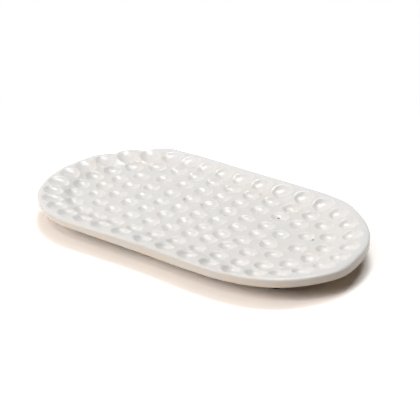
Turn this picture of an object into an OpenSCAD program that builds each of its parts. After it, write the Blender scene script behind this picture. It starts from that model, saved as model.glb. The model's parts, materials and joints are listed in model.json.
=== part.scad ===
// Soap dish: a shallow hand-made stoneware tray with rings of pressed dimples, standing on four
// stick-on rubber feet. Lengths are in millimetres. +Z is up, +X runs along the dish and +Y to its
// far side. The origin is on the table, under the middle of the dish.

/* [Dish] */
// Length of the dish over its rim
dish_l = 152; // [130:1:180]
// Width of the dish over its rim
dish_w = 85; // [75:1:100]
// Thickness of the clay at the edge of the rim
edge_t = 3.9; // [3.2:0.1:5]
// Thickness of the clay under the middle of the tray
base_t = 4; // [3:0.1:6]
// Depth of the foot of the slope below the rim
tray_d = 2.9; // [2:0.1:4]
// Further fall of the floor, from the foot of the slope to the middle
sag_d = 0.9; // [0.2:0.1:1.5]
// Width of the level lip between the edge and the slope
lip_w = 2.5; // [1.5:0.1:5]
// Width of the slope between the lip and the floor
slope_w = 14; // [8:0.5:18]
// Distance from the edge to the flat underside
base_inset = 10.5; // [6:0.1:14]
// Radius of the rim's upper arris
top_round = 1; // [0.4:0.1:1.4]
// Radius of the rim's lower arris
low_round = 1.2; // [0.4:0.1:1.6]

/* [Dimples] */
// Width of a dimple at its mouth
dimple_w = 8.2; // [5:0.1:8.6]
// Depth of a dimple
dimple_d = 1.5; // [0.6:0.1:2]
// Distance from the edge to the middle of the outer ring's dimples
ring_inset = 6.5; // [5.5:0.1:9]
// Distance between one ring and the next, before it is evened out
ring_gap = 9; // [8.8:0.1:12]
// Distance between dimples along the outer ring, before it is evened out
lap_pitch = 10; // [9.6:0.1:14]

/* [Feet] */
// Width of a rubber foot where it is stuck on
foot_w = 9.5; // [7:0.1:11]
// Height of a rubber foot
foot_h = 2.6; // [2:0.1:4]
// Amount by which a foot narrows on each side towards the table
foot_taper = 0.5; // [0.1:0.1:1]
// Radius of a foot's lower edge
foot_round = 0.7; // [0.3:0.1:1]
// Bare clay between a foot and the edge of the flat underside
foot_margin = 0.35; // [0.2:0.05:3]
// Turn of a foot about the middle of its round end, from the length of the dish
foot_turn = 46; // [30:1:60]
// Thickness of an adhesive disc
tape_t = 0.2; // [0.1:0.05:0.5]
// Margin of bare rubber round an adhesive disc
tape_margin = 0.3; // [0.1:0.1:1]

/* [Hidden] */
$fn = 96;

// Straight pieces in each curve of the section: the slope, the sagging floor, the flare underneath
// and an arris
slope_steps = 7;
floor_steps = 3;
flare_steps = 6;
arris_steps = 4;

// A dimple is cut by the cap of a ball inside a collar, which clears the mouth by this share
collar_share = 0.08;
// Height to which the collar stands above the clay
collar_h = 3;

// The rings were pressed by hand, from the outer one inwards. A start is the place of a ring's
// first dimple, as a share of the lap, clockwise from the middle of the far side. A drift is how
// far the dimples then stray along the lap, as shares of it: the cosine and sine parts of one wave
// round the ring, of two and of three.
start_shares = [-0.169, -0.201, -0.209, -0.223];
drift_shares = [
    [0.002, 0.010, 0.002, 0.004, -0.002, -0.004],
    [-0.004, 0.008, 0.002, 0.002, 0, -0.002],
    [-0.006, 0.008, 0.002, -0.002, 0.004, -0.002],
    [-0.006, 0.005, 0, -0.006, 0.004, 0]
];

end_r = dish_w / 2;
straight_l = dish_l - dish_w;
base_z = foot_h + tape_t;
rim_z = base_z + base_t + sag_d + tray_d;
edge_z = rim_z - edge_t;
slope_r = end_r - lip_w;
floor_r = slope_r - slope_w;
base_r = end_r - base_inset;

ring_count = round((end_r - ring_inset) / ring_gap);
ring_step = (end_r - ring_inset) / ring_count;
outer_lap = lap(end_r - ring_inset);
outer_count = round(outer_lap / lap_pitch);
fewer = round(2 * PI * ring_step / lap_pitch);
row_count = round(straight_l / lap_pitch);

foot_reach = base_r - foot_margin - foot_w / 2;

// Length of one lap of a ring that runs at a distance from the dish's long middle line
function lap(reach) = 2 * straight_l + 2 * PI * reach;

// Place on such a ring, a share of a lap clockwise from the middle of its far side, with the
// bearing of the outward direction there
function place(reach, share) =
    let (
        way = lap(reach) * (share - floor(share)),
        half = straight_l / 2,
        bend = PI * reach
    )
    way < half ? [way, reach, 90]
    : way < half + bend ? on_end(reach, half, 90 - (way - half) / reach * 180 / PI)
    : way < half + bend + straight_l ? [half - (way - half - bend), -reach, -90]
    : way < half + 2 * bend + straight_l
        ? on_end(reach, -half, -90 - (way - half - bend - straight_l) / reach * 180 / PI)
    : [way - lap(reach), reach, 90];

function on_end(reach, middle_x, bearing) =
    [middle_x + reach * cos(bearing), reach * sin(bearing), bearing];

// How far a dimple strays along its lap, as a share of it
function drift(shares, share) =
    let (waves = len(shares) / 2)
    [for (w = [1:waves])
        shares[2 * w - 2] * cos(360 * w * share) + shares[2 * w - 1] * sin(360 * w * share)]
    * [for (w = [1:waves]) 1];

// A smooth step from 0 to 1
function ease(share) = (1 - cos(180 * max(0, min(1, share)))) / 2;

// Height of the tray's surface at a distance from the long middle line, and its slope as an angle
function tray_z(reach) =
    rim_z - tray_d * ease((slope_r - reach) / slope_w) - sag_d * max(0, 1 - pow(reach / base_r, 2));
function tray_angle(reach) =
    let (run = slope_w / slope_steps)
    atan2(tray_z(reach + run / 2) - tray_z(reach - run / 2), run);

// Height of the underside, a share of the way out along the flare
function flare_z(share) = base_z + (edge_z - base_z) * ease(share);

// Half of the section across the dish, from the long middle line out to the edge
half_section = concat(
    [[0, base_z]],
    [for (i = [0:flare_steps])
        let (share = i / flare_steps)
        [base_r + (end_r - low_round - base_r) * share, flare_z(share)]],
    [for (i = [1:arris_steps])
        let (turn = 90 * i / arris_steps)
        [end_r - low_round + low_round * sin(turn), edge_z + low_round - low_round * cos(turn)]],
    [for (i = [0:arris_steps])
        let (turn = 90 * i / arris_steps)
        [end_r - top_round + top_round * cos(turn), rim_z - top_round + top_round * sin(turn)]],
    [for (i = [0:slope_steps])
        let (reach = slope_r - slope_w * i / slope_steps)
        [reach, tray_z(reach)]],
    [for (i = [1:floor_steps])
        let (reach = floor_r * (1 - i / floor_steps))
        [reach, tray_z(reach)]]
);

module dish_body() {
    color([0.9, 0.89, 0.87])
    difference() {
        slab();
        dimples();
    }
}

// The bent slab: two half-turned ends and the straight stretch between them
module slab() {
    for (side = [-1, 1])
        translate([side * straight_l / 2, 0, 0])
        rotate([0, 0, -90 * side])
        rotate_extrude(angle = 180)
            polygon(half_section);
    rotate([90, 0, 90])
    linear_extrude(straight_l, center = true)
        for (side = [0, 1])
        mirror([side, 0])
            polygon(half_section);
}

// Every dimple of the rings, and the row along the middle
module dimples() {
    for (ring = [0:ring_count - 1]) {
        reach = end_r - ring_inset - ring_step * ring;
        count = outer_count - fewer * ring;
        for (i = [0:count - 1]) {
            share = start_shares[ring % len(start_shares)] + i / count;
            shares = drift_shares[ring % len(drift_shares)];
            spot = place(reach, share + drift(shares, share));
            translate([spot[0], spot[1], tray_z(reach)])
            rotate([0, 0, spot[2]])
            rotate([0, -tray_angle(reach), 0])
                dimple_cutter();
        }
    }
    for (i = [0:row_count - 1])
        translate([(i - (row_count - 1) / 2) * lap_pitch, 0, tray_z(0)])
            dimple_cutter();
}

// The cap of a ball that meets the clay in a circle of the dimple's width
module dimple_cutter() {
    ball_r = (pow(dimple_w / 2, 2) + pow(dimple_d, 2)) / (2 * dimple_d);
    rotate_extrude()
    intersection() {
        translate([0, ball_r - dimple_d])
            circle(ball_r);
        translate([0, -dimple_d])
            square([dimple_w / 2 * (1 + collar_share), dimple_d + collar_h]);
    }
}

// Places a foot's or a disc's own solid under one quarter of the dish
module at_foot(side_x, side_y) {
    translate([
        side_x * (straight_l / 2 + foot_reach * cos(foot_turn)),
        side_y * foot_reach * sin(foot_turn),
        0
    ])
        children();
}

module foot() {
    top_r = foot_w / 2;
    low_r = top_r - foot_taper;
    color([0.09, 0.09, 0.1])
    rotate_extrude()
        polygon(concat(
            [[0, foot_h], [0, 0]],
            [for (i = [0:arris_steps])
                let (turn = 90 * i / arris_steps)
                [low_r - foot_round + foot_round * sin(turn), foot_round - foot_round * cos(turn)]],
            [[top_r, foot_h]]
        ));
}

module tape() {
    color([0.75, 0.75, 0.72])
    translate([0, 0, foot_h])
        cylinder(d = foot_w - 2 * tape_margin, h = tape_t);
}

dish_body();
at_foot(1, -1) foot();  // foot_near_right
at_foot(-1, -1) foot();  // foot_near_left
at_foot(1, 1) foot();  // foot_far_right
at_foot(-1, 1) foot();  // foot_far_left
at_foot(1, -1) tape();  // tape_near_right
at_foot(-1, -1) tape();  // tape_near_left
at_foot(1, 1) tape();  // tape_far_right
at_foot(-1, 1) tape();  // tape_far_left
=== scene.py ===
"""Soap dish: the finished look of a hand-made stoneware tray on four stick-on rubber feet.

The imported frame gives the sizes. The dish is one glazed slab whose dimples are pressed by a
Geometry Nodes tree. The feet are turned from one section, and another tree seats each at its
place. Lengths are in metres, +Z is up, +X runs along the dish and +Y to its far side.
"""

import json
import logging
import math
from dataclasses import dataclass, field
from enum import Enum

import bmesh
import bpy
import numpy as np
from mathutils import Matrix, Vector

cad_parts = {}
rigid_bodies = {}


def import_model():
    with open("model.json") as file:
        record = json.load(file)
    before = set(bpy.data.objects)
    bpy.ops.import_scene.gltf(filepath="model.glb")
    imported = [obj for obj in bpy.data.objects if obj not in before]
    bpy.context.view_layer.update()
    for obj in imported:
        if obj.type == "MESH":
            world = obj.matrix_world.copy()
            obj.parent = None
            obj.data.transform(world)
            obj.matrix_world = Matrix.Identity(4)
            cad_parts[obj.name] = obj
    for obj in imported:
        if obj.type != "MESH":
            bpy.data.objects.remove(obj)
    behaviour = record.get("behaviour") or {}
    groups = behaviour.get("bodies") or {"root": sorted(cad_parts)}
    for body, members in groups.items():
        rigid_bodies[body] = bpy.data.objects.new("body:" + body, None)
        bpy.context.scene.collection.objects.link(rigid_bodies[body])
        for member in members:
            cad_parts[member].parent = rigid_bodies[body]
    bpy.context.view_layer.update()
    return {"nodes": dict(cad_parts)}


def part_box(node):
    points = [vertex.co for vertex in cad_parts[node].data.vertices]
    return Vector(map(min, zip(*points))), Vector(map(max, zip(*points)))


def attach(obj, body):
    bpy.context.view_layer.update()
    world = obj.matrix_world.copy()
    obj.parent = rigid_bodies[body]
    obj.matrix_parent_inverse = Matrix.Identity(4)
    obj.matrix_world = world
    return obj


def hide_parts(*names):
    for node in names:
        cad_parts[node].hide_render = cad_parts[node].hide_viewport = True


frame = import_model()

LOG = logging.getLogger("soap_dish")
MM = 0.001
ROOT = "root"
PHOTO_SIDE = 420


class Slot(Enum):
    """The record's material slots."""

    GLAZE = "glazed_stoneware"
    RUBBER = "foot_rubber"
    FILM = "adhesive_film"


class Kind(Enum):
    """The kinds of value that a node group's socket or a mesh's attribute holds."""

    NUMBER = ("NodeSocketFloat", "FLOAT")
    VECTOR = ("NodeSocketVector", "FLOAT_VECTOR")
    OBJECT = ("NodeSocketObject", None)
    MATERIAL = ("NodeSocketMaterial", None)
    GEOMETRY = ("NodeSocketGeometry", None)
    COLOUR = ("NodeSocketColor", "FLOAT_COLOR")

    @property
    def socket(self) -> str:
        """The name of the socket's type."""
        return self.value[0]

    @property
    def data(self) -> str:
        """The name of the attribute's data type."""
        return self.value[1]


Colour = tuple[float, float, float]


def solid(colour: Colour) -> tuple[float, float, float, float]:
    """A colour with full alpha."""
    return (*colour, 1.0)


class Sheet:
    """A node tree that is written as expressions."""

    def __init__(self, tree: bpy.types.NodeTree) -> None:
        """Starts from a tree.

        Args:
            tree: The node tree to write to.
        """
        self.tree = tree

    def node(self, kind: str, *inputs: object, **settings: object) -> bpy.types.Node:
        """Adds a node.

        Args:
            kind: The node's type.
            inputs: What feeds its inputs in order: a socket, a value, or None to leave one alone.
            settings: Its properties.

        Returns:
            The node.
        """
        made = self.tree.nodes.new(kind)
        for name, value in settings.items():
            setattr(made, name, value)
        open_sockets = [s for s in made.inputs if s.enabled]
        for socket, value in zip(open_sockets, inputs):
            self.feed(socket, value)
        return made

    def feed(self, socket: bpy.types.NodeSocket, value: object) -> None:
        """Links a socket to another, or sets its value.

        Args:
            socket: The input.
            value: A socket, a value, or None to leave the input alone.
        """
        if isinstance(value, bpy.types.NodeSocket):
            self.tree.links.new(value, socket)
        elif value is not None:
            socket.default_value = value

    def maths(self, operation: str, *inputs: object, clamp: bool = False) -> bpy.types.NodeSocket:
        """The result of a Math node."""
        return self.node("ShaderNodeMath", *inputs, operation=operation, use_clamp=clamp).outputs[0]

    def vector(self, operation: str, *inputs: object) -> bpy.types.NodeSocket:
        """The result of a Vector Math node: a number for a length or a dot product."""
        made = self.node("ShaderNodeVectorMath", *inputs, operation=operation)
        return made.outputs["Value" if operation in ("LENGTH", "DOT_PRODUCT", "DISTANCE") else "Vector"]

    def ramp(
        self, value: object, low: float, high: float, start: float = 0.0, end: float = 1.0,
    ) -> bpy.types.NodeSocket:
        """A smooth ramp of a value.

        Args:
            value: The value, from low to high.
            low: Where the ramp starts.
            high: Where it ends.
            start: Its result up to low.
            end: Its result from high.

        Returns:
            The result's socket.
        """
        made = self.node("ShaderNodeMapRange", interpolation_type="SMOOTHSTEP")
        limits = {"Value": value, "From Min": low, "From Max": high, "To Min": start, "To Max": end}
        for name, what in limits.items():
            self.feed(made.inputs[name], what)
        return made.outputs["Result"]

    def mix(self, share: object, first: object, second: object) -> bpy.types.NodeSocket:
        """A mix of two colours.

        Args:
            share: The second colour's share.
            first: The first colour.
            second: The second colour.

        Returns:
            The mixed colour's socket.
        """
        made = self.node("ShaderNodeMix", data_type="RGBA", blend_type="MIX")
        share_in, first_in, second_in, mixed_out = 0, 6, 7, 2
        for index, what in ((share_in, share), (first_in, first), (second_in, second)):
            self.feed(made.inputs[index], what)
        return made.outputs[mixed_out]

    def noise(
        self, where: object, scale: object, detail: float = 2.0, roughness: float = 0.5,
    ) -> bpy.types.NodeSocket:
        """The value of a noise texture, about 0.5 on the whole.

        Args:
            where: The place that it is read at.
            scale: Its scale.
            detail: How many finer layers it has.
            roughness: How strong they are.

        Returns:
            The value's socket.
        """
        made = self.node("ShaderNodeTexNoise")
        settings = {"Vector": where, "Scale": scale, "Detail": detail, "Roughness": roughness}
        for name, what in settings.items():
            self.feed(made.inputs[name], what)
        return made.outputs[0]

    def spread(self, value: object, middle: float, width: float) -> bpy.types.NodeSocket:
        """A value from 0 to 1 laid over a width about a middle."""
        return self.maths("ADD", middle - width / 2, self.maths("MULTIPLY", value, width))


@dataclass(frozen=True)
class Wave:
    """A slow wave round the lap, as shares of a length."""

    cosines: tuple[float, ...]
    sines: tuple[float, ...]
    first: int = 1

    def at(self, share: np.ndarray) -> np.ndarray:
        """How high the wave is.

        Args:
            share: Shares of the lap.

        Returns:
            The height at each.
        """
        turn = 2 * np.pi * np.asarray(share)
        waves = range(self.first, self.first + len(self.cosines))
        parts = zip(waves, self.cosines, self.sines)
        return sum(c * np.cos(w * turn) + s * np.sin(w * turn) for w, c, s in parts)


@dataclass(frozen=True)
class Racetrack:
    """The plan of the dish: a straight stretch with round ends, as laps about its middle line."""

    end_r: float
    straight_l: float

    def lap(self, reach: np.ndarray) -> np.ndarray:
        """Length of the lap that runs at a distance from the middle line."""
        return 2 * self.straight_l + 2 * np.pi * np.asarray(reach)

    def split(self, reach: np.ndarray, share: np.ndarray) -> tuple[np.ndarray, np.ndarray]:
        """How far a share of a lap has run straight and how far it has turned.

        Args:
            reach: Distance of the lap from the middle line.
            share: Share of the lap, clockwise from above, from the middle of the far side.

        Returns:
            The straight run and the turn in radians.
        """
        way = self.lap(reach) * (share % 1.0)
        run = np.zeros_like(way)
        turn = np.zeros_like(way)
        for length, bends in ((0.5, False), (np.pi, True), (1, False), (np.pi, True), (0.5, False)):
            step = np.clip(way, 0, length * (reach if bends else self.straight_l))
            way = way - step
            if bends:
                turn = turn + step / reach
            else:
                run = run + step
        return run, turn

    def anchor(self, run: np.ndarray) -> np.ndarray:
        """Place along the middle line of a point whose lap has run that far straight."""
        half = self.straight_l / 2
        return np.where(run <= half, run, np.where(run <= 3 * half, 2 * half - run, run - 4 * half))


@dataclass(frozen=True)
class Ring:
    """One lap of dimples."""

    count: int
    start: float
    drift: Wave
    stray: Wave
    half_w: float
    depth: float
    steepness: float


@dataclass(frozen=True)
class Bulge:
    """A place where the rim was pushed out by hand, or in."""

    at: float
    out: float
    half_w: float

    def push(self, way: np.ndarray, lap: float) -> np.ndarray:
        """How far it moves the rim at ways along the lap from the middle of the far side."""
        off = (way - self.at + lap / 2) % lap - lap / 2
        return self.out * np.exp(-(off / self.half_w) ** 2)


@dataclass(frozen=True)
class Camera:
    """The photograph's viewpoint, which a scratch program fitted to the dish's outline and dimples.

    Shares are of the dish's length.
    """

    azimuth: float = 36.85
    elevation: float = 26.18
    distance_share: float = 2.3725
    right_share: float = 0.0355
    up_share: float = -0.0154
    focal_px: float = 852.5
    sensor_mm: float = 36.0
    nearest: float = 10 * MM
    farthest: float = 100.0

    def place(self, length: float, rim_z: float) -> bpy.types.Object:
        """Makes the camera.

        Args:
            length: Length of the dish.
            rim_z: Height of its rim.

        Returns:
            The camera object.
        """
        turn = math.radians(self.azimuth)
        lift = math.radians(self.elevation)
        back = Vector((math.sin(turn) * math.cos(lift), -math.cos(turn) * math.cos(lift), math.sin(lift)))
        right = Vector((math.cos(turn), math.sin(turn), 0))
        up = back.cross(right)
        shift = back * self.distance_share + right * self.right_share + up * self.up_share
        data = bpy.data.cameras.new("camera")
        data.sensor_width = self.sensor_mm
        data.lens = self.focal_px / PHOTO_SIDE * self.sensor_mm
        data.clip_start = self.nearest
        data.clip_end = self.farthest
        made = bpy.data.objects.new("camera", data)
        axes = Matrix((right, up, back)).transposed()
        made.matrix_world = Matrix.Translation(shift * length + Vector((0, 0, rim_z))) @ axes.to_4x4()
        bpy.context.scene.collection.objects.link(made)
        bpy.context.scene.camera = made
        LOG.info("%s: %.0f mm from the dish", made.name, self.distance_share * length / MM)
        return made


@dataclass(frozen=True)
class Lamp:
    """A soft lamp: where it stands, seen by the camera, and what it gives a level surface."""

    name: str
    left_deg: float
    lift_deg: float
    distance: float
    side: float
    level: float
    colour: Colour
    least_sine: float = 0.1

    def place(self, camera_azimuth: float) -> None:
        """Makes the lamp.

        Args:
            camera_azimuth: The camera's azimuth in degrees, from which left_deg counts.
        """
        turn = math.radians(camera_azimuth - self.left_deg)
        lift = math.radians(self.lift_deg)
        out = Vector((math.sin(turn) * math.cos(lift), -math.cos(turn) * math.cos(lift), math.sin(lift)))
        data = bpy.data.lights.new(self.name, "AREA")
        data.shape = "DISK"
        data.size = self.side
        data.color = self.colour
        sine = max(abs(math.sin(lift)), self.least_sine)
        data.energy = self.level * (math.pi * self.distance) ** 2 / sine
        made = bpy.data.objects.new(self.name, data)
        made.location = out * self.distance
        made.rotation_mode = "QUATERNION"
        made.rotation_quaternion = out.to_track_quat("Z", "Y")
        bpy.context.scene.collection.objects.link(made)


@dataclass(frozen=True)
class Studio:
    """The pale floor, the surroundings and the lamps."""

    # A search that rendered the scene beside the photograph set where the two back lamps stand,
    # lamp_back's size and lamp_left's lift.
    lamps: tuple[Lamp, ...] = (
        Lamp("lamp_back", 186, 67.5, 1.2, 0.38, 0.28, (0.97, 1.0, 1.0)),
        Lamp("lamp_back_right", 229, 65, 1.2, 0.38, 0.175, (0.97, 1.0, 1.0)),
        Lamp("lamp_over", 0, 87, 1.2, 0.6, 0.08, (1.0, 0.99, 0.98)),
        Lamp("lamp_left", 58, 34, 1.2, 0.6, 0.21, (1.0, 0.95, 0.905)),
        Lamp("lamp_front", 44, 58, 1.2, 0.22, 0.1, (1.0, 0.95, 0.905)),
        Lamp("lamp_low_left", 72, 26, 1.2, 0.6, 0.05, (1.0, 0.95, 0.905)),
    )
    ambient: Colour = (0.03, 0.028, 0.026)
    mirrored: Colour = (1.0, 1.0, 1.0)
    floor_colour: Colour = (0.78, 0.69, 0.58)
    seen_colour: Colour = (1.74, 1.67, 1.62)
    floor_side: float = 8.0
    lit_reach: float = 0.13
    plain_reach: float = 0.2

    def build(self, camera: Camera) -> None:
        """Makes the floor, the surroundings and the lamps.

        Args:
            camera: The camera, about which the lamps stand.
        """
        for lamp in self.lamps:
            lamp.place(camera.azimuth)
        self.surround()
        self.floor()
        LOG.info("studio: floor and %d lamps", len(self.lamps))

    def surround(self) -> None:
        """Sets surroundings that are white where they show and dim where they light."""
        world = bpy.data.worlds.new("surroundings")
        world.use_nodes = True
        world.node_tree.nodes.clear()
        sheet = Sheet(world.node_tree)
        path = sheet.node("ShaderNodeLightPath").outputs
        shows = sheet.maths("MAXIMUM", path["Is Camera Ray"], path["Is Transmission Ray"])
        colour = sheet.mix(path["Is Glossy Ray"], solid(self.ambient), solid(self.mirrored))
        colour = sheet.mix(shows, colour, solid((1, 1, 1)))
        shade = sheet.node("ShaderNodeBackground", colour)
        sheet.node("ShaderNodeOutputWorld", shade.outputs[0])
        bpy.context.scene.world = world

    def floor(self) -> None:
        """Makes the floor, which keeps the shadow near the dish and is plain white further off."""
        mesh = bpy.data.meshes.new("floor")
        half = self.floor_side / 2
        corners = [(x * half, y * half, 0) for x, y in ((-1, -1), (1, -1), (1, 1), (-1, 1))]
        mesh.from_pydata(corners, [], [(0, 1, 2, 3)])
        made = bpy.data.objects.new("floor", mesh)
        bpy.context.scene.collection.objects.link(made)
        mesh.materials.append(self.floor_material())

    def floor_material(self) -> bpy.types.Material:
        """Builds the floor's material, which is clear from below.

        Returns:
            The material.
        """
        material = bpy.data.materials.new("studio_floor")
        material.use_nodes = True
        material.node_tree.nodes.clear()
        sheet = Sheet(material.node_tree)
        path = sheet.node("ShaderNodeLightPath").outputs
        shows = sheet.maths("MAXIMUM", path["Is Camera Ray"], path["Is Transmission Ray"])
        shows = sheet.maths("MAXIMUM", shows, path["Is Glossy Ray"])
        colour = sheet.mix(shows, solid(self.floor_colour), solid(self.seen_colour))
        lit = sheet.node("ShaderNodeBsdfDiffuse", colour).outputs[0]
        plain = sheet.node("ShaderNodeEmission", solid((1, 1, 1)), 1.0).outputs[0]
        place = sheet.node("ShaderNodeTexCoord").outputs["Object"]
        away = sheet.ramp(sheet.vector("LENGTH", place), self.lit_reach, self.plain_reach)
        away = sheet.maths("MULTIPLY", away, shows)
        top = sheet.node("ShaderNodeMixShader", away, lit, plain).outputs[0]
        clear = sheet.node("ShaderNodeBsdfTransparent").outputs[0]
        below = sheet.node("ShaderNodeNewGeometry").outputs["Backfacing"]
        both = sheet.node("ShaderNodeMixShader", below, top, clear).outputs[0]
        sheet.node("ShaderNodeOutputMaterial", both)
        return material


def own_group(
    name: str, inputs: dict[str, tuple[Kind, object]], outputs: dict[str, Kind],
) -> tuple[Sheet, bpy.types.Node]:
    """Starts a shader node group with named inputs and outputs.

    Args:
        name: The group's name.
        inputs: Each input's kind and default.
        outputs: Each output's kind.

    Returns:
        The group's sheet and its input node.
    """
    tree = bpy.data.node_groups.new(name, "ShaderNodeTree")
    for label, (kind, default) in inputs.items():
        socket = tree.interface.new_socket(name=label, in_out="INPUT", socket_type=kind.socket)
        if default is not None:
            socket.default_value = default
    for label, kind in outputs.items():
        tree.interface.new_socket(name=label, in_out="OUTPUT", socket_type=kind.socket)
    sheet = Sheet(tree)
    return sheet, tree.nodes.new("NodeGroupInput")


@dataclass(frozen=True)
class Cloud:
    """A noise that is read through a smooth ramp."""

    scale: float
    low: float
    high: float
    start: float = 0.0
    end: float = 1.0
    detail: float = 2.0
    roughness: float = 0.5

    def read(self, sheet: Sheet, where: object, scale: object = None) -> bpy.types.NodeSocket:
        """Writes the noise and its ramp.

        Args:
            sheet: The tree that it is written to.
            where: The place that it is read at.
            scale: A socket with the scale, where it isn't the cloud's own.

        Returns:
            The ramp's result.
        """
        scale = self.scale if scale is None else scale
        value = sheet.noise(where, scale, self.detail, self.roughness)
        return sheet.ramp(value, self.low, self.high, self.start, self.end)


class Effects:
    """The shader node groups that the finishes share."""

    clouds: Cloud = Cloud(100.0, 0.35, 0.7, detail=4.0, roughness=0.6)
    grain_detail: float = 3.0
    speck_core_share: float = 0.6

    def __init__(self) -> None:
        """Builds each group once."""
        self.mottle = self.build_mottle()
        self.grain = self.build_grain()
        self.specks = self.build_specks()

    def build_mottle(self) -> bpy.types.NodeTree:
        """Builds slow clouds of a second colour over the first.

        Returns:
            The node group.
        """
        inputs = {
            "Vector": (Kind.VECTOR, None),
            "Scale": (Kind.NUMBER, self.clouds.scale),
            "Amount": (Kind.NUMBER, 0.5),
            "Colour": (Kind.COLOUR, solid((0.8, 0.8, 0.8))),
            "Clouds": (Kind.COLOUR, solid((0.6, 0.6, 0.6))),
        }
        sheet, given = own_group("mottle", inputs, {"Colour": Kind.COLOUR})
        cloud = self.clouds.read(sheet, given.outputs["Vector"], given.outputs["Scale"])
        share = sheet.maths("MULTIPLY", cloud, given.outputs["Amount"])
        colour = sheet.mix(share, given.outputs["Colour"], given.outputs["Clouds"])
        sheet.node("NodeGroupOutput", colour)
        return sheet.tree

    def build_grain(self) -> bpy.types.NodeTree:
        """Builds a fine relief, as a height for a Bump node.

        Returns:
            The node group.
        """
        inputs = {
            "Vector": (Kind.VECTOR, None),
            "Scale": (Kind.NUMBER, 800.0),
            "Height": (Kind.NUMBER, 1.0),
        }
        sheet, given = own_group("grain", inputs, {"Height": Kind.NUMBER})
        relief = sheet.noise(given.outputs["Vector"], given.outputs["Scale"], self.grain_detail)
        sheet.node("NodeGroupOutput", sheet.maths("MULTIPLY", relief, given.outputs["Height"]))
        return sheet.tree

    def build_specks(self) -> bpy.types.NodeTree:
        """Builds rare round specks, as a mask.

        Returns:
            The node group.
        """
        inputs = {
            "Vector": (Kind.VECTOR, None),
            "Scale": (Kind.NUMBER, 300.0),
            "Size": (Kind.NUMBER, 0.1),
            "Rarity": (Kind.NUMBER, 0.95),
        }
        sheet, given = own_group("specks", inputs, {"Mask": Kind.NUMBER})
        cells = sheet.node("ShaderNodeTexVoronoi")
        sheet.feed(cells.inputs["Vector"], given.outputs["Vector"])
        sheet.feed(cells.inputs["Scale"], given.outputs["Scale"])
        chance = sheet.node("ShaderNodeSeparateColor", cells.outputs["Color"]).outputs[0]
        chosen = sheet.maths("GREATER_THAN", chance, given.outputs["Rarity"])
        near = sheet.maths("DIVIDE", cells.outputs["Distance"], given.outputs["Size"])
        spot = sheet.ramp(near, self.speck_core_share, 1.0, 1.0, 0.0)
        sheet.node("NodeGroupOutput", sheet.maths("MULTIPLY", chosen, spot))
        return sheet.tree


class Paint(Sheet):
    """A material's node tree with one Principled shader."""

    def __init__(self, name: str, effects: Effects) -> None:
        """Starts a material.

        Args:
            name: The material's name.
            effects: The shared node groups.
        """
        self.material = bpy.data.materials.new(name)
        self.material.use_nodes = True
        super().__init__(self.material.node_tree)
        self.shader = self.tree.nodes["Principled BSDF"]
        self.effects = effects
        self.place = self.node("ShaderNodeTexCoord").outputs["Object"]

    def effect(self, group: bpy.types.NodeTree, **values: object) -> bpy.types.NodeSocket:
        """Uses a shared group.

        Args:
            group: The group.
            values: What its inputs take.

        Returns:
            Its first output.
        """
        made = self.node("ShaderNodeGroup", node_tree=group)
        self.feed(made.inputs["Vector"], self.place)
        for label, value in values.items():
            self.feed(made.inputs[label], value)
        return made.outputs[0]

    def field(self, name: str) -> bpy.types.NodeSocket:
        """A number that the mesh holds at each point."""
        return self.node("ShaderNodeAttribute", attribute_name=name).outputs["Fac"]

    def shade(
        self, colour: object, roughness: object, height: object, relief_h: float,
    ) -> bpy.types.Material:
        """Feeds the shader.

        Args:
            colour: The base colour.
            roughness: The roughness.
            height: A relief from 0 to 1.
            relief_h: The relief's real height.

        Returns:
            The material.
        """
        self.feed(self.shader.inputs["Base Color"], colour)
        self.feed(self.shader.inputs["Roughness"], roughness)
        bump = self.node("ShaderNodeBump")
        self.feed(bump.inputs["Distance"], relief_h)
        self.feed(bump.inputs["Height"], height)
        self.feed(self.shader.inputs["Normal"], bump.outputs["Normal"])
        return self.material


@dataclass(frozen=True)
class Mark:
    """A small mark in the glaze at a chosen place on the tray."""

    x: float
    y: float
    radius: float
    strength: float
    colour: Colour


IRON: Colour = (0.7, 0.36, 0.18)
# Pinholes: the dark clay in each hole, with painted shade over it.
PINHOLE_CLAY_AND_SHADE: Colour = (0.05, 0.035, 0.02)


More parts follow.
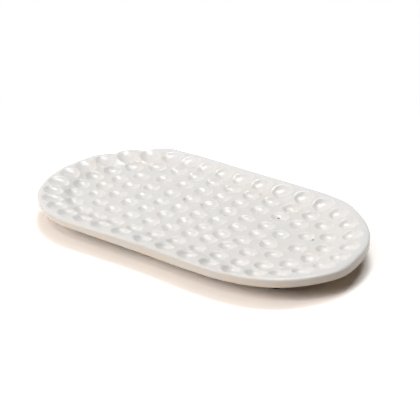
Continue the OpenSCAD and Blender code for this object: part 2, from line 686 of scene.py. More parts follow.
@dataclass(frozen=True)
class StonewareFinish:
    """Glossy off-white glaze that thins to warm clay on its edges, with painted warm bounce light low on
    the wall, a painted sheen on the lip and a bare wiped base.
    """

    glaze: Colour = (0.84, 0.82, 0.8)
    cool: Colour = (0.81, 0.805, 0.8)
    # Thin glaze and clay; low on the wall it also stands for painted warm bounce light.
    warm: Colour = (0.87, 0.76, 0.66)
    # Painted sheen: a paler white for the lip.
    painted_sheen: Colour = (0.89, 0.885, 0.89)
    clay: Colour = (0.14, 0.095, 0.05)
    grog: Colour = (0.25, 0.16, 0.1)
    gloss: float = 0.23
    gloss_spread: float = 0.08
    smear_scale: float = 200.0
    dull: float = 0.85
    thin_glaze_and_bounce: Cloud = Cloud(140.0, 0.35, 0.65, 0.15, 1.0, detail=3.0)
    patchy: Cloud = Cloud(55.0, 0.42, 0.62, 0.05, 0.55)
    rust_share: float = 0.35
    grog_share: float = 0.6
    wipe_scale: float = 180.0
    wipe_waver: float = 1.2 * MM
    wipe_w: float = 0.15 * MM
    relief_h: float = 0.05 * MM
    mark_core_share: float = 0.4
    # The two darkest marks are pinholes, painted as dark clay with shade in them; the others are iron
    # spots.
    marks: tuple[Mark, ...] = (
        Mark(29.8 * MM, 17.4 * MM, 0.75 * MM, 0.9, PINHOLE_CLAY_AND_SHADE),
        Mark(52.0 * MM, 7.5 * MM, 0.9 * MM, 1.0, PINHOLE_CLAY_AND_SHADE),
        Mark(-12.8 * MM, 7.4 * MM, 0.9 * MM, 0.7, IRON),
        Mark(-3.4 * MM, 7.4 * MM, 0.9 * MM, 0.5, IRON),
        Mark(12.8 * MM, 29.1 * MM, 1.0 * MM, 0.4, IRON),
    )

    def material(self, effects: Effects) -> bpy.types.Material:
        """Builds the material.

        Args:
            effects: The shared node groups.

        Returns:
            The material, which reads the slab's own fields.
        """
        paint = Paint("glazed_stoneware", effects)
        bare = self.bare_share(paint)
        colour = paint.mix(bare, self.glaze_colour(paint), self.clay_colour(paint))
        ripple = paint.effect(effects.grain, Scale=320.0, Height=0.5)
        grit = paint.effect(effects.grain, Scale=2200.0, Height=1.0)
        height = paint.maths("ADD", ripple, paint.maths("MULTIPLY", grit, bare))
        smear = paint.noise(paint.place, self.smear_scale, detail=3.0)
        gloss = paint.spread(smear, self.gloss, self.gloss_spread)
        rough = paint.maths("MAXIMUM", gloss, paint.maths("MULTIPLY", bare, self.dull))
        return paint.shade(colour, rough, height, self.relief_h)

    def glaze_colour(self, paint: Paint) -> bpy.types.NodeSocket:
        """The glaze: pale on the lip with a painted sheen, warm where it thins on the edges and with
        painted bounce light low on the wall, with rust and marks.

        Args:
            paint: The material's tree.

        Returns:
            The colour's socket.
        """
        colour = paint.effect(
            paint.effects.mottle, Scale=90.0, Amount=0.7, Colour=solid(self.glaze), Clouds=solid(self.cool),
        )
        # Painted sheen: the lip is mixed to a paler white, most on the far side.
        colour = paint.mix(paint.field("lip"), colour, solid(self.painted_sheen))
        # Warm on the brims, where the glaze breaks, and down the wall, partly thin glaze and partly painted
        # warm bounce light from the floor.
        brim = paint.maths("MULTIPLY", paint.field("brim"), self.patchy.read(paint, paint.place))
        edges = paint.maths("ADD", brim, paint.field("arris"), clamp=True)
        thin_glaze_and_bounce = paint.maths("MULTIPLY", self.thin_glaze_and_bounce.read(paint, paint.place), edges)
        colour = paint.mix(thin_glaze_and_bounce, colour, solid(self.warm))
        rust = paint.effect(paint.effects.specks, Scale=130.0, Size=0.07, Rarity=0.97)
        colour = paint.mix(paint.maths("MULTIPLY", rust, self.rust_share), colour, solid(IRON))
        for mark in self.marks:
            colour = self.stamp(paint, mark, colour)
        return colour

    def clay_colour(self, paint: Paint) -> bpy.types.NodeSocket:
        """The bare clay with its grog.

        Args:
            paint: The material's tree.

        Returns:
            The colour's socket.
        """
        clay = paint.effect(
            paint.effects.mottle, Scale=60.0, Amount=0.35, Colour=solid(self.clay), Clouds=solid(self.warm),
        )
        grog = paint.effect(paint.effects.specks, Scale=900.0, Size=0.3, Rarity=0.8)
        return paint.mix(paint.maths("MULTIPLY", grog, self.grog_share), clay, solid(self.grog))

    def bare_share(self, paint: Paint) -> bpy.types.NodeSocket:
        """Where the glaze was wiped off, up to a wavering line under the rim.

        Args:
            paint: The material's tree.

        Returns:
            A share from 0 in the glaze to 1 on bare clay.
        """
        waver = paint.maths("SUBTRACT", paint.noise(paint.place, self.wipe_scale), 0.5)
        waver = paint.maths("MULTIPLY", waver, self.wipe_waver)
        inset = paint.maths("ADD", paint.field("bare"), waver)
        return paint.ramp(inset, -self.wipe_w, self.wipe_w)

    def stamp(self, paint: Paint, mark: Mark, under: bpy.types.NodeSocket) -> bpy.types.NodeSocket:
        """Lays one mark over a colour.

        Args:
            paint: The material's tree.
            mark: The mark.
            under: The colour under it.

        Returns:
            The colour with the mark.
        """
        off = paint.vector("SUBTRACT", paint.place, (mark.x, mark.y, 0))
        off = paint.vector("LENGTH", paint.vector("MULTIPLY", off, (1, 1, 0)))
        core = self.mark_core_share * mark.radius
        spot = paint.ramp(off, core, mark.radius, mark.strength, 0.0)
        return paint.mix(spot, under, solid(mark.colour))


@dataclass(frozen=True)
class RubberFinish:
    """Matt black moulded rubber with a little dust."""

    rubber: Colour = (0.018, 0.018, 0.02)
    bloom: Colour = (0.05, 0.05, 0.052)
    dust: Colour = (0.3, 0.28, 0.25)
    dust_share: float = 0.4
    roughness: float = 0.6
    roughness_spread: float = 0.2
    smear_scale: float = 700.0
    relief_h: float = 0.02 * MM

    def material(self, effects: Effects) -> bpy.types.Material:
        """Builds the material.

        Args:
            effects: The shared node groups.

        Returns:
            The material.
        """
        paint = Paint("foot_rubber", effects)
        colour = paint.effect(
            effects.mottle, Scale=500.0, Amount=0.6, Colour=solid(self.rubber), Clouds=solid(self.bloom),
        )
        dust = paint.effect(effects.specks, Scale=1500.0, Size=0.25, Rarity=0.93)
        colour = paint.mix(paint.maths("MULTIPLY", dust, self.dust_share), colour, solid(self.dust))
        smear = paint.noise(paint.place, self.smear_scale, detail=3.0)
        rough = paint.spread(smear, self.roughness, self.roughness_spread)
        grain = paint.effect(effects.grain, Scale=4000.0, Height=1.0)
        return paint.shade(colour, rough, grain, self.relief_h)


@dataclass(frozen=True)
class FilmFinish:
    """Pale double-sided adhesive film, a little yellowed in clouds."""

    film: Colour = (0.62, 0.61, 0.56)
    aged: Colour = (0.5, 0.44, 0.33)
    roughness: float = 0.45
    roughness_spread: float = 0.2
    smear_scale: float = 900.0
    relief_h: float = 0.01 * MM

    def material(self, effects: Effects) -> bpy.types.Material:
        """Builds the material.

        Args:
            effects: The shared node groups.

        Returns:
            The material.
        """
        paint = Paint("adhesive_film", effects)
        colour = paint.effect(
            effects.mottle, Scale=350.0, Amount=0.8, Colour=solid(self.film), Clouds=solid(self.aged),
        )
        smear = paint.noise(paint.place, self.smear_scale)
        rough = paint.spread(smear, self.roughness, self.roughness_spread)
        grain = paint.effect(effects.grain, Scale=2500.0, Height=1.0)
        return paint.shade(colour, rough, grain, self.relief_h)


class Recipe(Sheet):
    """A Geometry Nodes tree with named inputs."""

    def __init__(self, name: str) -> None:
        """Starts a tree that takes a mesh and gives one back.

        Args:
            name: The tree's name.
        """
        super().__init__(bpy.data.node_groups.new(name, "GeometryNodeTree"))
        self.tree.interface.new_socket(name="Geometry", in_out="OUTPUT", socket_type=Kind.GEOMETRY.socket)
        self.ids: dict[str, str] = {}
        self.given = self.tree.nodes.new("NodeGroupInput")
        self.input("Geometry", Kind.GEOMETRY)

    def input(self, name: str, kind: Kind) -> bpy.types.NodeSocket:
        """Adds a named input.

        Args:
            name: Its name.
            kind: What it takes.

        Returns:
            Its socket inside the tree.
        """
        made = self.tree.interface.new_socket(name=name, in_out="INPUT", socket_type=kind.socket)
        self.ids[name] = made.identifier
        return self.given.outputs[name]

    def field(self, name: str, kind: Kind) -> bpy.types.NodeSocket:
        """A named field of the geometry."""
        return self.node("GeometryNodeInputNamedAttribute", name, data_type=kind.data).outputs["Attribute"]

    def keep(self, geometry: object, name: str, value: object) -> bpy.types.NodeSocket:
        """Stores a number at each point.

        Args:
            geometry: The mesh's socket.
            name: The name that it is stored under.
            value: The number's socket.

        Returns:
            The mesh's socket with it.
        """
        made = self.node("GeometryNodeStoreNamedAttribute", data_type="FLOAT", domain="POINT")
        self.feed(made.inputs["Geometry"], geometry)
        self.feed(made.inputs["Name"], name)
        self.feed(made.inputs["Value"], value)
        return made.outputs[0]

    def close(self, geometry: bpy.types.NodeSocket, material: bpy.types.NodeSocket) -> None:
        """Ends the tree in real, smooth geometry with its material.

        Args:
            geometry: The mesh's socket.
            material: The material's socket.
        """
        real = self.node("GeometryNodeRealizeInstances", geometry).outputs[0]
        smooth = self.node("GeometryNodeSetShadeSmooth", real).outputs[0]
        dressed = self.node("GeometryNodeSetMaterial")
        self.feed(dressed.inputs["Geometry"], smooth)
        self.feed(dressed.inputs["Material"], material)
        self.node("NodeGroupOutput", dressed.outputs[0])

    def run(self, source: bpy.types.Object, name: str, values: dict[str, object]) -> bpy.types.Object:
        """Runs the tree on a mesh.

        Args:
            source: The object whose mesh goes in. It is removed.
            name: Name of the finished piece.
            values: What each named input takes.

        Returns:
            A plain mesh object.
        """
        modifier = source.modifiers.new(self.tree.name, "NODES")
        modifier.node_group = self.tree
        for label, value in values.items():
            modifier[self.ids[label]] = value
        graph = bpy.context.evaluated_depsgraph_get()
        mesh = bpy.data.meshes.new_from_object(source.evaluated_get(graph))
        source.modifiers.remove(modifier)
        bpy.data.objects.remove(source)
        mesh.name = name
        made = bpy.data.objects.new(name, mesh)
        bpy.context.scene.collection.objects.link(made)
        return made


def mesh_object(name: str, points: np.ndarray, faces: list[tuple[int, ...]]) -> bpy.types.Object:
    """A linked object with a new mesh.

    Args:
        name: The object's name.
        points: The vertices.
        faces: The faces, as indices of the vertices.

    Returns:
        The object.
    """
    mesh = bpy.data.meshes.new(name)
    mesh.from_pydata(points.tolist(), [], faces)
    made = bpy.data.objects.new(name, mesh)
    bpy.context.scene.collection.objects.link(made)
    return made


def store(target: bpy.types.Object, name: str, values: np.ndarray) -> None:
    """Stores numbers or vectors at a mesh's points.

    Args:
        target: The mesh object.
        name: The name that they are stored under.
        values: One number or one row of three for each point.
    """
    flat = np.ascontiguousarray(values, dtype=np.float32)
    kind, label = (Kind.VECTOR, "vector") if flat.ndim == 2 else (Kind.NUMBER, "value")
    made = target.data.attributes.new(name, kind.data, "POINT")
    made.data.foreach_set(label, flat.ravel())


def closed_grid(
    name: str, points: np.ndarray, weld: float, fields: dict[str, np.ndarray],
) -> bpy.types.Object:
    """A closed mesh from rows of points that each run once round.

    Args:
        name: The object's name.
        points: The points, by row and by place in the row.
        weld: Points nearer to each other than this become one, which closes the first and last rows.
        fields: Numbers to store at each point, by name.

    Returns:
        The object, with its faces turned outward.
    """
    rows, laps = points.shape[:2]
    index = np.arange(rows * laps).reshape(rows, laps)
    ahead = np.roll(index, -1, axis=1)
    quads = np.stack([index[:-1], index[1:], ahead[1:], ahead[:-1]], axis=2).reshape(-1, 4)
    made = mesh_object(name, points.reshape(-1, 3), quads.tolist())
    for label, values in fields.items():
        store(made, label, values.ravel())
    shape = bmesh.new()
    shape.from_mesh(made.data)
    bmesh.ops.remove_doubles(shape, verts=shape.verts, dist=weld)
    bmesh.ops.recalc_face_normals(shape, faces=shape.faces)
    shape.to_mesh(made.data)
    shape.free()
    return made


def ease(share: np.ndarray) -> np.ndarray:
    """A smooth step from 0 to 1."""
    return (1 - np.cos(np.pi * np.clip(share, 0, 1))) / 2


def quarter(steps: int) -> np.ndarray:
    """The ends of the steps of a quarter turn, in radians."""
    return np.radians(np.linspace(0, 90, steps + 1)[1:])


@dataclass
class DishBody:
    """The slab of stoneware: its bent section, its hand-made outline and its pressed dimples."""

    finish: StonewareFinish
    node: str = "dish_body"
    lip_w: float = 2.5 * MM
    slope_w: float = 14 * MM
    tray_d: float = 2.9 * MM
    sag_d: float = 0.9 * MM
    edge_t: float = 3.65 * MM
    base_inset: float = 10.5 * MM
    top_round: float = 0.75 * MM
    crown_w: float = 3.0 * MM
    crown_d: float = 0.22 * MM
    low_round: float = 0.65 * MM
    glaze_inset: float = 1.3 * MM
    # Band and sway of the painted sheen on the lip, strongest on the far side.
    sheen_inset: float = 7.5 * MM
    sheen_w: float = 5.0 * MM
    depth_sway: Wave = Wave((-0.08,), (0.22,))
    width_sway: Wave = Wave((0.09,), (-0.09,))
    sheen_share: float = 0.55
    sheen_sway: Wave = Wave((0.4,), (-0.05,))
    ring_inset: float = 6.5 * MM
    fade: float = 1.1
    outline: Wave = Wave((0.004, 0.003, -0.003, -0.001), (0.003, -0.007, 0.0, 0.002), first=2)
    bulges: tuple[Bulge, ...] = (
        Bulge(0 * MM, 0.8 * MM, 80 * MM),
        Bulge(158 * MM, -1.4 * MM, 17 * MM),
        Bulge(192 * MM, -0.6 * MM, 20 * MM),
        Bulge(111 * MM, 0.9 * MM, 8 * MM),
        Bulge(-100 * MM, 1.4 * MM, 18 * MM),
        Bulge(-86 * MM, 1.3 * MM, 5 * MM),
        Bulge(-68 * MM, 0.9 * MM, 5 * MM),
        Bulge(-49.5 * MM, 2.4 * MM, 5.5 * MM),
        Bulge(50 * MM, 0.9 * MM, 7 * MM),
    )
    notches: tuple[Bulge, ...] = (
        Bulge(-76 * MM, -2.4 * MM, 1.7 * MM),
        Bulge(-60.7 * MM, -2.6 * MM, 1.7 * MM),
    )
    notch_fade: float = 0.7
    bulge_fade: float = 9.0
    leans: tuple[Bulge, ...] = (
        Bulge(200 * MM, 0.75 * MM, 24 * MM),
        Bulge(101 * MM, 0.6 * MM, 13 * MM),
    )
    edge_waver: Wave = Wave((0.3, 0.5, 0.0, 0.4), (0.6, -0.3, 0.5, 0.0), first=2)
    edge_waver_h: float = 0.22 * MM
    # Scratch programs fitted the wave called outline to the photograph, and each ring's start, drift
    # and stray, and the row's start, pitch and y. These numbers weren't chosen by hand.
    rings: tuple[Ring, ...] = (
        Ring(
            36, -0.1705,
            Wave((0.0023, 0.0029, -0.0024, -0.0009), (0.0095, 0.0034, -0.0048, 0.0013)),
            Wave((-0.0009, -0.005, -0.0031, -0.0007), (0.0, -0.0017, -0.0009, 0.0004), first=0),
            4.25 * MM, 1.5 * MM, 3.1,
        ),
        Ring(
            30, -0.2028,
            Wave((-0.0019, 0.0029, -0.0007, -0.0005), (0.0086, 0.0013, -0.0024, 0.0001)),
            Wave((-0.0005, -0.0009, -0.0009, 0.0001), (0.0, -0.0057, 0.0016, -0.0024), first=0),
            3.8 * MM, 1.25 * MM, 2.6,
        ),
        Ring(
            24, -0.2095,
            Wave((-0.003, 0.002, 0.0031, -0.0011), (0.0105, -0.0024, -0.0025, -0.0001)),
            Wave((-0.0021, -0.0021, 0.0006, 0.0), (0.0, -0.0032, 0.0024, -0.0026), first=0),
            3.65 * MM, 1.1 * MM, 2.4,
        ),
        Ring(
            18, -0.224,
            Wave((0.0013, 0.0008, 0.0019, -0.0015), (0.0049, -0.0063, -0.0023, 0.0019)),
            Wave((-0.0026, -0.0079, 0.0038, 0.0034), (0.0, -0.0016, -0.001, 0.0011), first=0),
            3.65 * MM, 1.1 * MM, 2.4,
        ),
    )
    row_count: int = 7
    row_start: float = -28.8 * MM
    row_pitch: float = 10.08 * MM
    row_y: float = -1.3 * MM
    row_half_w: float = 3.7 * MM
    row_depth: float = 1.1 * MM
    row_steepness: float = 2.4
    softness: float = 0.13 * MM
    brim_h: float = 0.1 * MM
    brim_w_share: float = 0.13
    brim_place_share: float = 1.1
    uneven_h: float = 0.16 * MM
    dent_scale: float = 95.0
    ripple_scale: float = 330.0
    ripple_share: float = 0.25
    lean: float = -0.35 * MM
    lean_way: tuple[float, float, float] = (0.8, 0.6, 0.0)
    hand_seed: int = 11
    width_spread: float = 0.03
    depth_spread: float = 0.06
    squash_middle: float = 0.97
    squash_spread: float = 0.05
    spread_limit: float = 1.6
    # Wall rows from the top; each share is also how warm the wall is, partly thin glaze and partly painted
    # warm bounce light.
    wall_shares: tuple[float, ...] = (0.15, 0.4, 0.75, 1.0)
    upper_arris_share: float = 0.1
    top_rows: int = 101
    arris_rows: int = 5
    flare_rows: int = 9
    base_rows: int = 8
    straight_steps: int = 130
    bend_steps: int = 224
    weld: float = 0.01 * MM
    low: Vector = field(init=False)
    high: Vector = field(init=False)
    plan: Racetrack = field(init=False)

    def __post_init__(self) -> None:
        """Takes the length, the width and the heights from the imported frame."""
        self.low, self.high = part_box(self.node)
        self.length = self.high.x - self.low.x
        width = self.high.y - self.low.y
        self.plan = Racetrack(width / 2, self.length - width)

    def tray_z(self, reach: np.ndarray) -> np.ndarray:
        """Height of the tray's surface before its dimples are pressed.

        Args:
            reach: Distance from the middle line.

        Returns:
            The height there.
        """
        slope_r = self.plan.end_r - self.lip_w
        base_r = self.plan.end_r - self.base_inset
        sag = np.clip(1 - (reach / base_r) ** 2, 0, None)
        crown = self.crown_d * np.clip((reach - self.plan.end_r) / self.crown_w + 1, 0, None) ** 2
        slope = self.tray_d * ease((slope_r - reach) / self.slope_w)
        return self.high.z - crown - slope - self.sag_d * sag

    def section(self) -> np.ndarray:
        """The section from the middle of the tray over the rim and under to the middle of the base.

        Returns:
            One row for each step: reach, height, and the shares that are pressed, warm and edge; the warm
                share is thin glaze on the arris and painted warm bounce light down the wall.
        """
        end_r = self.plan.end_r
        edge_z = self.high.z - self.edge_t
        base_r = end_r - self.base_inset
        rows = []
        for reach in np.linspace(0, end_r - self.top_round, self.top_rows):
            rows.append((reach, self.tray_z(reach), 1.0, 0.0, 0.0))
        wall_top = self.high.z - self.crown_d - self.top_round
        for turn in quarter(self.arris_rows):
            rows.append((
                end_r - self.top_round * (1 - math.sin(turn)),
                self.high.z - self.crown_d - self.top_round * (1 - math.cos(turn)),
                math.cos(turn), self.upper_arris_share * math.sin(2 * turn), 0.0,
            ))
        wall = np.linspace(wall_top, edge_z + self.low_round, len(self.wall_shares) + 1)[1:]
        # The warm share grows down the wall: thin glaze, and a painted warm bounce light from the floor low
        # on the wall.
        for share, height in zip(self.wall_shares, wall):
            rows.append((end_r, height, 0.0, share, share))
        for turn in quarter(self.arris_rows):
            rows.append((
                end_r - self.low_round * (1 - math.cos(turn)),
                edge_z + self.low_round * (1 - math.sin(turn)), 0.0, 1.0, 1.0,
            ))
        for share in np.linspace(1, 0, self.flare_rows + 1)[1:]:
            reach = base_r + (end_r - self.low_round - base_r) * share
            height = self.low.z + (edge_z - self.low.z) * ease(share)
            rows.append((reach, height, 0.0, share ** 2, share))
        for share in np.linspace(1, 0, self.base_rows + 1)[1:]:
            rows.append((base_r * share, self.low.z, 0.0, 0.0, 0.0))
        return np.array(rows)

    def columns(self) -> tuple[np.ndarray, np.ndarray]:
        """The grid's columns, once round from the middle of the far side.

        Returns:
            How far each column has run straight, and how far it has turned.
        """
        straight = self.plan.straight_l
        half = np.linspace(0, straight / 2, self.straight_steps // 2, endpoint=False)
        whole = np.linspace(0, straight, self.straight_steps, endpoint=False)
        bend = np.linspace(0, np.pi, self.bend_steps, endpoint=False)
        near, last = straight / 2, 1.5 * straight
        run = [half, 0 * bend + near, near + whole, 0 * bend + last, last + half]
        turn = [0 * half, bend, 0 * whole + np.pi, np.pi + bend, 0 * half + 2 * np.pi]
        return np.concatenate(run), np.concatenate(turn)

    def push(self, way: np.ndarray, wall: np.ndarray) -> np.ndarray:
        """How far the rim was pushed out by hand.

        Args:
            way: The way along the rim from the middle of the far side.
            wall: How far down the wall, from 0 to 1.

        Returns:
            The push at each, outward.
        """
        lap = self.plan.lap(self.plan.end_r)
        push = sum(bulge.push(way, lap) for bulge in self.bulges)
        notch = sum(notch.push(way, lap) for notch in self.notches)
        lean = sum(lean.push(way, lap) for lean in self.leans)
        return push + notch * (1 - self.notch_fade * wall) - lean * (1 - wall)

    def slab(self) -> bpy.types.Object:
        """Builds the slab before its dimples are pressed.

        Returns:
            The slab as one closed grid, with the fields that its finish reads.
        """
        run, turn = (a[None, :] for a in self.columns())
        reach, height, press, arris, wall = (a[:, None] for a in self.section().T)
        end_r = self.plan.end_r
        share = (run + turn * reach) / self.plan.lap(reach)
        out = reach + self.length * self.outline.at(share) * (reach / end_r) ** self.fade
        out = out + self.push(run + turn * end_r, wall) * (reach / end_r) ** self.bulge_fade
        x = self.plan.anchor(run) + out * np.sin(turn)
        y = out * np.cos(turn)
        z = height + self.edge_waver_h * self.edge_waver.at(share) * wall
        points = np.stack([x, y, z + 0 * x], axis=2)
        first_under = self.top_rows + self.arris_rows + len(self.wall_shares) + 1
        under = np.arange(len(x))[:, None] >= first_under
        bare = np.where(under, (end_r - self.glaze_inset) - reach, -1.0)
        # Painted sheen: a share of paler glaze near the rim, most on the far side.
        lip = ease((reach - end_r + self.sheen_inset) / self.sheen_w) * (1 - wall) * (press > 0)
        lip = lip * (self.sheen_share + self.sheen_sway.at(share))
        fields = {"press": press, "arris": arris, "lip": lip, "bare": bare}
        fields = {name: values + 0 * x for name, values in fields.items()}
        return closed_grid("slab", points, self.weld, fields)

    def spots(self) -> tuple[np.ndarray, ...]:
        """Where each dimple is pressed, and how.

        Returns:
            Places, directions along the lap, half widths, depths, squashes and steepnesses.
        """
        hand = np.random.default_rng(self.hand_seed)
        places, ways, half_ws, depths, steeps = [], [], [], [], []
        end_r = self.plan.end_r
        for number, ring in enumerate(self.rings):
            reach = (end_r - self.ring_inset) * (1 - number / len(self.rings))
            share = ring.start + np.arange(ring.count) / ring.count
            share = share + ring.drift.at(share)
            run, turn = self.plan.split(reach, share)
            wave = self.outline.at(share) * (reach / end_r) ** self.fade + ring.stray.at(share)
            out = reach + self.length * wave
            x = self.plan.anchor(run) + out * np.sin(turn)
            places.append(np.stack([x, out * np.cos(turn), 0 * out], axis=1))
            ways.append(np.stack([np.cos(turn), -np.sin(turn), 0 * turn], axis=1))
            half_ws.append(ring.half_w * (1 + self.width_sway.at(share) * reach / end_r))
            depths.append(ring.depth * (1 + self.depth_sway.at(share) * reach / end_r))
            steeps.append(np.full(ring.count, ring.steepness))
        x = self.row_start + self.row_pitch * np.arange(self.row_count)
        places.append(np.stack([x, self.row_y + 0 * x, 0 * x], axis=1))
        ways.append(np.stack([1 + 0 * x, 0 * x, 0 * x], axis=1))
        half_ws.append(np.full(self.row_count, self.row_half_w))
        depths.append(np.full(self.row_count, self.row_depth))
        steeps.append(np.full(self.row_count, self.row_steepness))
        lists = (places, ways, half_ws, depths, steeps)
        places, ways, half_ws, depths, steeps = (np.concatenate(a) for a in lists)

        def waver() -> np.ndarray:
            """The hand's waver from one dimple to the next."""
            return hand.standard_normal(len(places)).clip(-self.spread_limit, self.spread_limit)

        half_ws = half_ws * (1 + self.width_spread * waver())
        depths = depths * (1 + self.depth_spread * waver())
        squashes = self.squash_middle + self.squash_spread * waver()
        return places, ways, half_ws, depths, squashes, steeps

    def press_recipe(self) -> Recipe:
        """Builds the tree that presses a dimple wherever the nearest spot says.

        Returns:
            The tree, with its named inputs.
        """
        recipe = Recipe("press_dimples")
        spots = recipe.input("Spots", Kind.OBJECT)
        softness = recipe.input("Softness", Kind.NUMBER)
        brim_h = recipe.input("Brim height", Kind.NUMBER)
        brim_w = recipe.input("Brim width", Kind.NUMBER)
        brim_place = recipe.input("Brim place", Kind.NUMBER)
        uneven = recipe.input("Unevenness", Kind.NUMBER)
        lean = recipe.input("Lean", Kind.VECTOR)
        material = recipe.input("Material", Kind.MATERIAL)
        marks = recipe.node("GeometryNodeObjectInfo", spots).outputs["Geometry"]
        place = recipe.node("GeometryNodeInputPosition").outputs[0]
        flat = recipe.vector("MULTIPLY", place, (1, 1, 0))
        nearest = recipe.node("GeometryNodeSampleNearest", marks, flat).outputs[0]

        def of_spot(name: str, kind: Kind) -> bpy.types.NodeSocket:
            """A field of the nearest spot.

            Args:
                name: The field's name.
                kind: What it holds.

            Returns:
                Its socket.
            """
            sample = recipe.node("GeometryNodeSampleIndex", data_type=kind.data)
            recipe.feed(sample.inputs["Geometry"], marks)
            recipe.feed(sample.inputs["Value"], recipe.field(name, kind))
            recipe.feed(sample.inputs["Index"], nearest)
            return sample.outputs[0]

        way = of_spot("way", Kind.VECTOR)
        off = recipe.vector("SUBTRACT", flat, of_spot("place", Kind.VECTOR))
        half_w = of_spot("half_w", Kind.NUMBER)
        near = recipe.maths("DIVIDE", recipe.vector("LENGTH", off), half_w)
        near = recipe.maths("SUBTRACT", 1.0, recipe.maths("POWER", near, 2.0), clamp=True)
        off = recipe.vector("ADD", off, recipe.vector("MULTIPLY", lean, near))
        along = recipe.vector("DOT_PRODUCT", off, way)
        across = recipe.vector("DOT_PRODUCT", off, recipe.vector("CROSS_PRODUCT", way, (0, 0, 1)))
        across = recipe.maths("DIVIDE", across, of_spot("squash", Kind.NUMBER))
        size = recipe.node("ShaderNodeCombineXYZ", along, across, 0.0).outputs[0]
        share = recipe.maths("DIVIDE", recipe.vector("LENGTH", size), half_w)
        steep = recipe.maths("POWER", share, of_spot("steepness", Kind.NUMBER))
        cap = recipe.maths("SUBTRACT", steep, 1.0)
        cap = recipe.maths("MULTIPLY", of_spot("depth", Kind.NUMBER), cap)
        soft = recipe.maths("POWER", softness, 2.0)
        soft = recipe.maths("SQRT", recipe.maths("ADD", recipe.maths("POWER", cap, 2.0), soft))
        bowl = recipe.maths("MULTIPLY", recipe.maths("SUBTRACT", cap, soft), 0.5)
        past = recipe.maths("DIVIDE", recipe.maths("SUBTRACT", share, brim_place), brim_w)
        brim = recipe.maths("MULTIPLY", recipe.maths("POWER", past, 2.0), -1.0)
        brim = recipe.maths("EXPONENT", brim)
        press = recipe.field("press", Kind.NUMBER)
        rise = recipe.maths("ADD", bowl, recipe.maths("MULTIPLY", brim, brim_h))
        rise = recipe.maths("MULTIPLY", rise, press)
        slow = recipe.maths("SUBTRACT", recipe.noise(place, self.dent_scale, detail=1.0), 0.5)
        fine = recipe.maths("SUBTRACT", recipe.noise(place, self.ripple_scale, detail=1.0), 0.5)
        fine = recipe.maths("MULTIPLY", fine, self.ripple_share)
        bumps = recipe.maths("MULTIPLY", recipe.maths("ADD", slow, fine), uneven)
        rise = recipe.maths("ADD", rise, recipe.maths("MULTIPLY", bumps, press))
        moved = recipe.node("GeometryNodeSetPosition")
        recipe.feed(moved.inputs["Geometry"], recipe.given.outputs["Geometry"])
        up = recipe.node("ShaderNodeCombineXYZ", 0.0, 0.0, rise).outputs[0]
        recipe.feed(moved.inputs["Offset"], up)
        brim = recipe.maths("MULTIPLY", brim, press)
        recipe.close(recipe.keep(moved.outputs[0], "brim", brim), material)
        return recipe

    def build(self, effects: Effects) -> bpy.types.Object:
        """Builds the dish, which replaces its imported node.

        Args:
            effects: The shared node groups.

        Returns:
            The finished piece.
        """
        places, ways, half_ws, depths, squashes, steeps = self.spots()
        spots = mesh_object("dimple_spots", places, [])
        fields = {
            "place": places, "way": ways, "half_w": half_ws,
            "depth": depths, "squash": squashes, "steepness": steeps,
        }
        for name, values in fields.items():
            store(spots, name, values)
        values = {
            "Spots": spots,
            "Softness": self.softness,
            "Brim height": self.brim_h,
            "Brim width": self.brim_w_share,
            "Brim place": self.brim_place_share,
            "Unevenness": self.uneven_h,
            "Lean": Vector(self.lean_way) * self.lean,
            "Material": self.finish.material(effects),
        }
        piece = self.press_recipe().run(self.slab(), "glazed_dish", values)
        bpy.data.objects.remove(spots)
        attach(piece, ROOT)
        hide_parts(self.node)
        LOG.info("%s: %d dimples, %d faces", piece.name, len(places), len(piece.data.polygons))
        return piece


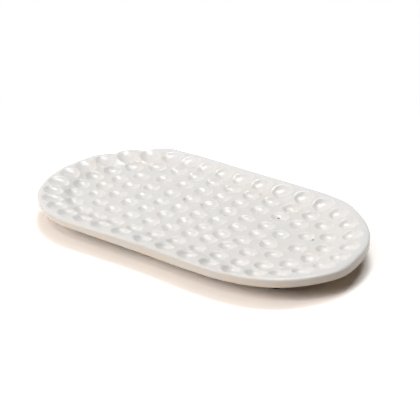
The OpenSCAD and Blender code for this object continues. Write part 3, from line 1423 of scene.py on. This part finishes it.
@dataclass
class RubberFeet:
    """Four stick-on rubber feet, turned from one section, and the adhesive films over them."""

    rubber: RubberFinish
    film: FilmFinish
    corners: tuple[str, ...] = ("near_right", "near_left", "far_right", "far_left")
    taper: float = 0.3 * MM
    low_round: float = 0.4 * MM
    top_round: float = 0.2 * MM
    ring_share: float = 0.62
    cup_share: float = 0.5
    cup_h: float = 0.35 * MM
    arc_steps: int = 5
    laps: int = 96
    weld: float = 0.001 * MM

    def section(self, half_w: float, height: float) -> list[tuple[float, float]]:
        """The foot's half section, from the middle of its top round to the middle of its cup.

        Args:
            half_w: Half the foot's width where it is stuck on.
            height: Its height.

        Returns:
            Distances from the axis with their heights.
        """
        points = [(0.0, height), (half_w * self.cup_share, height)]
        turns = np.radians(np.linspace(0, 90, self.arc_steps))
        for turn in turns:
            inward = self.top_round * (1 - math.sin(turn))
            points.append((half_w - inward, height - self.top_round * (1 - math.cos(turn))))
        foot_r = half_w - self.taper
        for turn in turns:
            inward = self.low_round * (1 - math.cos(turn))
            points.append((foot_r - inward, self.low_round * (1 - math.sin(turn))))
        points.append((half_w * self.ring_share, 0.0))
        cup_r = half_w * self.cup_share
        for share in np.linspace(1, 0, self.arc_steps + 1):
            points.append((cup_r * share, self.cup_h * float(ease(1 - share * share))))
        return points

    def turned(self, half_w: float, height: float) -> bpy.types.Object:
        """Turns one foot about the origin.

        Args:
            half_w: Half the foot's width where it is stuck on.
            height: Its height.

        Returns:
            The foot's object.
        """
        section = np.array(self.section(half_w, height))
        turn = np.linspace(0, 2 * np.pi, self.laps, endpoint=False)[None, :]
        reach, level = section[:, :1], section[:, 1:] + 0 * turn
        points = np.stack([reach * np.cos(turn), reach * np.sin(turn), level], axis=2)
        return closed_grid("turned_foot", points, self.weld, {})

    @staticmethod
    def seat_recipe() -> Recipe:
        """Builds the tree that seats a copy of a piece at its place.

        Returns:
            The tree, with its named inputs.
        """
        recipe = Recipe("seat_foot")
        place = recipe.input("Place", Kind.VECTOR)
        material = recipe.input("Material", Kind.MATERIAL)
        point = recipe.node("GeometryNodePoints", 1, place).outputs[0]
        copies = recipe.node("GeometryNodeInstanceOnPoints")
        recipe.feed(copies.inputs["Points"], point)
        recipe.feed(copies.inputs["Instance"], recipe.given.outputs["Geometry"])
        recipe.close(copies.outputs[0], material)
        return recipe

    def build(self, effects: Effects) -> None:
        """Builds the feet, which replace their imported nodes, and dresses the films.

        Args:
            effects: The shared node groups.
        """
        rubber = self.rubber.material(effects)
        film = self.film.material(effects)
        recipe = self.seat_recipe()
        for corner in self.corners:
            low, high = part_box(f"foot_{corner}")
            half_w = (high.x - low.x) / 2
            middle = Vector(((low.x + high.x) / 2, (low.y + high.y) / 2, low.z))
            source = self.turned(half_w, high.z - low.z)
            piece = recipe.run(source, f"rubber_{corner}", {"Place": middle, "Material": rubber})
            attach(piece, ROOT)
            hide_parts(f"foot_{corner}")
            disc = frame["nodes"][f"tape_{corner}"]
            disc.data.materials.clear()
            disc.data.materials.append(film)
            LOG.info("%s at %.1f, %.1f mm, with its film", piece.name, middle.x / MM, middle.y / MM)


def main() -> None:
    """Builds the dish, its feet and the studio."""
    logging.basicConfig(level=logging.INFO, format="%(name)s: %(message)s")
    bpy.context.scene.view_settings.view_transform = "Standard"
    effects = Effects()
    dish = DishBody(StonewareFinish())
    camera = Camera()
    camera.place(dish.length, dish.high.z)
    dish.build(effects)
    RubberFeet(RubberFinish(), FilmFinish()).build(effects)
    Studio().build(camera)


if __name__ == "__main__":
    main()
